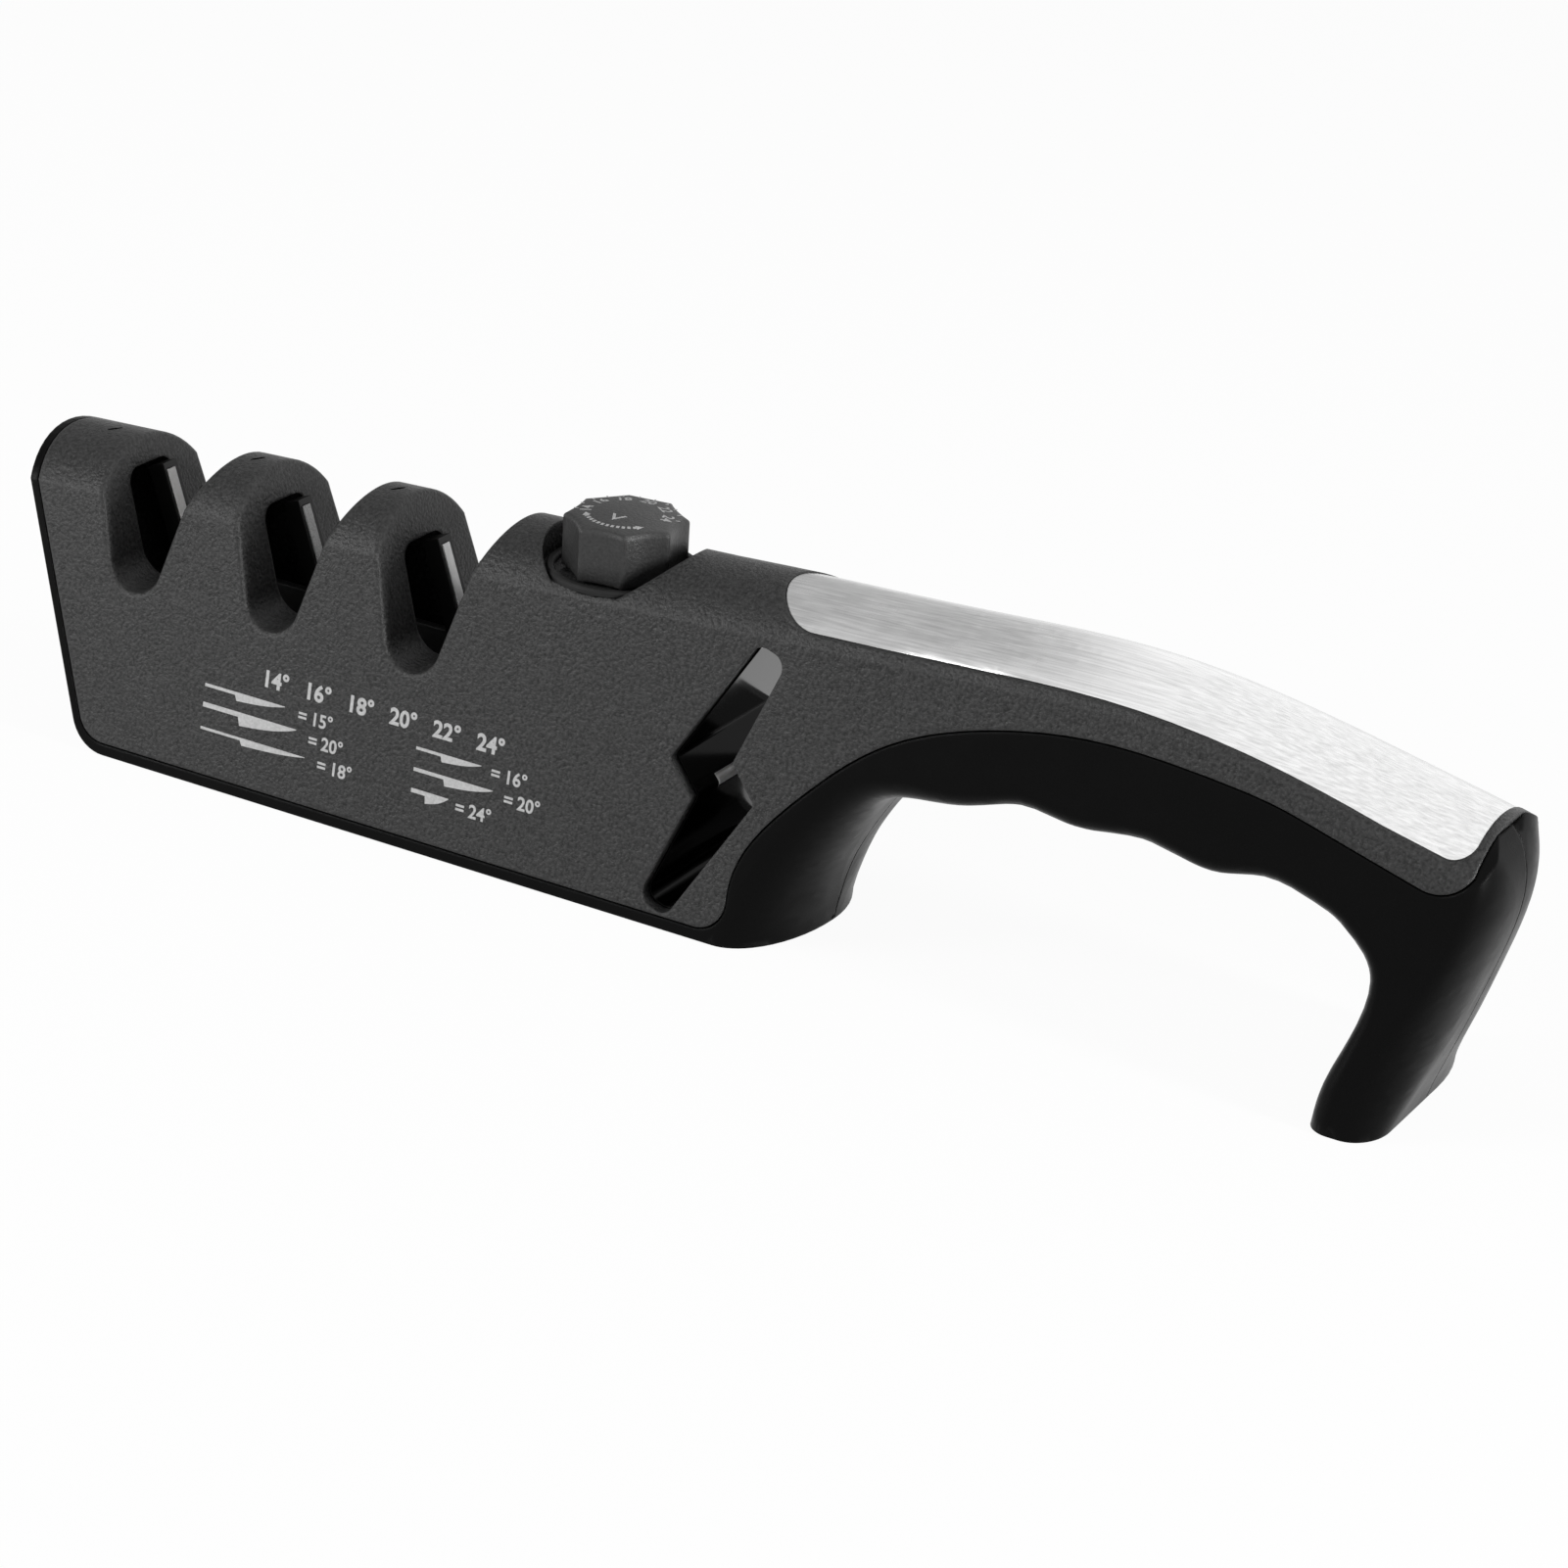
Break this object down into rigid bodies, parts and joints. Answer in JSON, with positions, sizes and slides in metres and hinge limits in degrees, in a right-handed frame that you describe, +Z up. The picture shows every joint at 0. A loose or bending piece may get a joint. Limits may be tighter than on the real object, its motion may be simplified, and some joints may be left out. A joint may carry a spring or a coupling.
{
  "type": "pull through knife sharpener",
  "caption": "Bench-top pull through sharpener with knife slots, an angle knob that rocks crossed blade holders, a scissors slot and a bridge handle with a steel strip.",
  "frame": {"origin": "middle of the flat base's underside, on the table", "axes": "+X along the body from the knife slots to the handle, +Z up, -Y towards the side seen in the picture"},
  "size_m": [0.2958, 0.045, 0.0654],
  "materials": {
    "cover_plastic": "fine spark-eroded grain",
    "frame_plastic": "fine grain, satin edges",
    "strip_steel": "brushed along the handle",
    "knob_plastic": "satin",
    "bright_ring": "polished",
    "ceramic": "stands in for fine white ceramic",
    "diamond_grit": "diamond grit",
    "carbide": "ground",
    "steel": "plain",
    "cam_plastic": "natural acetal",
    "chassis_plastic": "plain",
    "holder_plastic": "plain",
    "lining_plastic": "glossy",
    "pad_rubber": "soft"
  },
  "bodies": {
    "housing": {"upper_cover": "cover_plastic", "front_frame": "frame_plastic", "rear_frame": "frame_plastic", "frame_screws": "steel", "base_screws": "steel", "base_pad": "pad_rubber", "handle_strip": "strip_steel", "knob_bezel": "bright_ring", "cam_bridge": "chassis_plastic", "chassis": "chassis_plastic", "detent_ball": "steel", "detent_spring": "steel", "pivot_pin_1": "steel", "pivot_pin_2": "steel", "pivot_pin_3": "steel", "scissors_lining": "lining_plastic", "scissors_rod_upper": "ceramic", "scissors_rod_lower": "ceramic"},
    "knob": {"angle_knob": "knob_plastic", "knob_shaft": "steel", "knob_screw": "steel", "scroll_cam": "cam_plastic"},
    "front_bar": {"front_slide_bar": "cam_plastic"},
    "rear_bar": {"rear_slide_bar": "cam_plastic"},
    "front_blade_1": {"front_holder_1": "holder_plastic", "ceramic_insert_front": "ceramic"},
    "rear_blade_1": {"rear_holder_1": "holder_plastic", "ceramic_insert_rear": "ceramic"},
    "front_blade_2": {"front_holder_2": "holder_plastic", "diamond_insert_front": "diamond_grit"},
    "rear_blade_2": {"rear_holder_2": "holder_plastic", "diamond_insert_rear": "diamond_grit"},
    "front_blade_3": {"front_holder_3": "holder_plastic", "carbide_insert_front": "carbide"},
    "rear_blade_3": {"rear_holder_3": "holder_plastic", "carbide_insert_rear": "carbide"}
  },
  "joints": [
    {"name": "knob_turn", "type": "hinge", "parent": "housing", "child": "knob", "pos_m": [0.0287, 0, 0.0545], "axis": [0, 0, 1], "range_deg": [-108, 72]},
    {"name": "front_bar_slide", "type": "slide", "parent": "housing", "child": "front_bar", "axis": [1, 0, 0], "range_m": [-0.0008, 0.0012]},
    {"name": "rear_bar_slide", "type": "slide", "parent": "housing", "child": "rear_bar", "axis": [1, 0, 0], "range_m": [-0.0012, 0.0008]},
    {"name": "front_rock_1", "type": "hinge", "parent": "housing", "child": "front_blade_1", "pos_m": [-0.067, 0, 0.027], "axis": [0, 1, 0], "range_deg": [-6.1, 4.1]},
    {"name": "rear_rock_1", "type": "hinge", "parent": "housing", "child": "rear_blade_1", "pos_m": [-0.067, 0, 0.027], "axis": [0, 1, 0], "range_deg": [-4.1, 6.1]},
    {"name": "front_rock_2", "type": "hinge", "parent": "housing", "child": "front_blade_2", "pos_m": [-0.036, 0, 0.027], "axis": [0, 1, 0], "range_deg": [-6.1, 4.1]},
    {"name": "rear_rock_2", "type": "hinge", "parent": "housing", "child": "rear_blade_2", "pos_m": [-0.036, 0, 0.027], "axis": [0, 1, 0], "range_deg": [-4.1, 6.1]},
    {"name": "front_rock_3", "type": "hinge", "parent": "housing", "child": "front_blade_3", "pos_m": [-0.005, 0, 0.027], "axis": [0, 1, 0], "range_deg": [-6.1, 4.1]},
    {"name": "rear_rock_3", "type": "hinge", "parent": "housing", "child": "rear_blade_3", "pos_m": [-0.005, 0, 0.027], "axis": [0, 1, 0], "range_deg": [-4.1, 6.1]}
  ],
  "couplings": [
    {"joint": "front_bar_slide", "follows": "knob_turn", "m_per_rad": -0.00061111},
    {"joint": "rear_bar_slide", "follows": "knob_turn", "m_per_rad": 0.00061111},
    {"joint": "front_rock_1", "follows": "knob_turn", "ratio": 0.055556},
    {"joint": "rear_rock_1", "follows": "knob_turn", "ratio": -0.055556},
    {"joint": "front_rock_2", "follows": "knob_turn", "ratio": 0.055556},
    {"joint": "rear_rock_2", "follows": "knob_turn", "ratio": -0.055556},
    {"joint": "front_rock_3", "follows": "knob_turn", "ratio": 0.055556},
    {"joint": "rear_rock_3", "follows": "knob_turn", "ratio": -0.055556}
  ]
}
